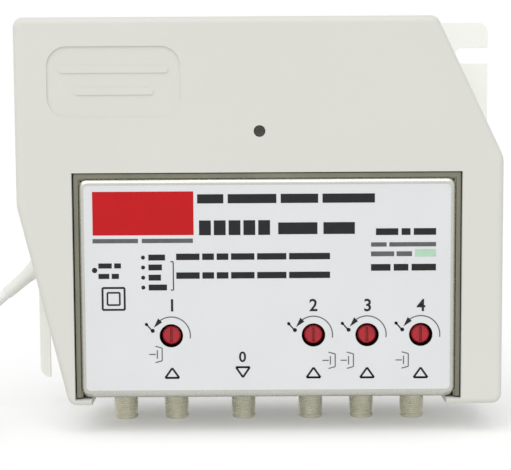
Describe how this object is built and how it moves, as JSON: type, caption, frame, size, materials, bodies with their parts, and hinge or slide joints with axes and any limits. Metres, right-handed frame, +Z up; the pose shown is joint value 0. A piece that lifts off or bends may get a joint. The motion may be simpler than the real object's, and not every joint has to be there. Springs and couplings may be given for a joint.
{
  "type": "indoor aerial amplifier",
  "caption": "Wall mounted mains powered aerial amplifier: moulded cover, screened module with level trimmers, coaxial sockets below and a coiled mains lead.",
  "frame": {"origin": "centre of the object's box in plan, without the mains lead, on the floor that the sockets stand on", "axes": "+X to the right as seen from the front, +Y back towards the wall, +Z up"},
  "size_m": [0.2953, 0.0796, 0.1554],
  "materials": {
    "cover_plastic": "fine matt texture",
    "base_plastic": "fine matt texture",
    "screw_steel": "zinc plated",
    "case_metal": "bright die cast, satin",
    "lid_metal": "tinned sheet",
    "label": "printed film, semi gloss",
    "rotor_red": "moulded, semi gloss",
    "trimmer_black": "moulded",
    "socket_nickel": "nickel plated, threaded",
    "insulator": "moulded",
    "contact": "plated spring bronze",
    "board_green": "solder resist",
    "fence_metal": "tinned sheet",
    "copper": "enamelled copper wire",
    "chip_black": "moulded",
    "ceramic": "dipped ceramic",
    "feed_metal": "tinned",
    "core_iron": "stacked sheets, varnished",
    "bobbin": "moulded",
    "winding_tape": "copper winding under yellow tape",
    "clamp_steel": "zinc plated sheet",
    "board_tan": "paper laminate",
    "capacitor_sleeve": "shrunk sleeve",
    "diode_black": "moulded, one silver band",
    "sink_aluminium": "plain extrusion",
    "fuse_glass": "clear",
    "fuse_cap": "nickel plated",
    "relief_rubber": "soft moulding, matt",
    "cord_sheath": "smooth sheath",
    "wire_brown": "smooth insulation",
    "wire_yellow": "smooth insulation",
    "wire_red": "smooth insulation",
    "plug_plastic": "moulded on, semi gloss",
    "pin_metal": "nickel plated",
    "clamp_plastic": "moulded"
  },
  "bodies": {
    "housing": {"amplifier_chips": "chip_black", "base_plate": "base_plastic", "board_screws": "screw_steel", "clamp_screws": "screw_steel", "cord_coil": "cord_sheath", "cord_tail": "cord_sheath", "cover_screw": "screw_steel", "disc_capacitors": "ceramic", "feed_capacitor": "feed_metal", "front_cover": "cover_plastic", "front_label": "label", "fuse_caps": "fuse_cap", "fuse_clips": "fuse_cap", "fuse_glass": "fuse_glass", "heat_sink": "sink_aluminium", "inner_lead": "cord_sheath", "lead_clamp": "clamp_plastic", "mains_cord": "cord_sheath", "mains_wires": "wire_brown", "module_board": "board_green", "module_case": "case_metal", "module_lid": "lid_metal", "module_screws": "screw_steel", "plug_body": "plug_plastic", "plug_pins": "pin_metal", "power_board": "board_tan", "power_screws": "screw_steel", "rectifier_diodes": "diode_black", "reservoir_capacitors": "capacitor_sleeve", "rf_socket_1": "socket_nickel", "rf_socket_2": "socket_nickel", "rf_socket_3": "socket_nickel", "rf_socket_4": "socket_nickel", "rf_socket_5": "socket_nickel", "rf_socket_6": "socket_nickel", "screen_fences": "fence_metal", "socket_contacts": "contact", "socket_insulators": "insulator", "strain_relief": "relief_rubber", "supply_wire": "wire_red", "transformer_bobbin": "bobbin", "transformer_clamp": "clamp_steel", "transformer_core": "core_iron", "transformer_screws": "screw_steel", "transformer_windings": "winding_tape", "transformer_wires": "wire_yellow", "trimmer_body_1": "trimmer_black", "trimmer_body_2": "trimmer_black", "trimmer_body_3": "trimmer_black", "trimmer_body_4": "trimmer_black", "tuning_coils": "copper", "voltage_regulator": "chip_black"},
    "rotor_1": {"trimmer_rotor_1": "rotor_red"},
    "rotor_2": {"trimmer_rotor_2": "rotor_red"},
    "rotor_3": {"trimmer_rotor_3": "rotor_red"},
    "rotor_4": {"trimmer_rotor_4": "rotor_red"}
  },
  "joints": [
    {"name": "level_1", "type": "hinge", "parent": "housing", "child": "rotor_1", "pos_m": [-0.0342, -0.01, 0.0376], "axis": [0, -1, 0], "range_deg": [-135, 135]},
    {"name": "level_2", "type": "hinge", "parent": "housing", "child": "rotor_2", "pos_m": [0.0188, -0.01, 0.0376], "axis": [0, -1, 0], "range_deg": [-135, 135]},
    {"name": "level_3", "type": "hinge", "parent": "housing", "child": "rotor_3", "pos_m": [0.0388, -0.01, 0.0376], "axis": [0, -1, 0], "range_deg": [-135, 135]},
    {"name": "level_4", "type": "hinge", "parent": "housing", "child": "rotor_4", "pos_m": [0.0588, -0.01, 0.0376], "axis": [0, -1, 0], "range_deg": [-135, 135]}
  ]
}
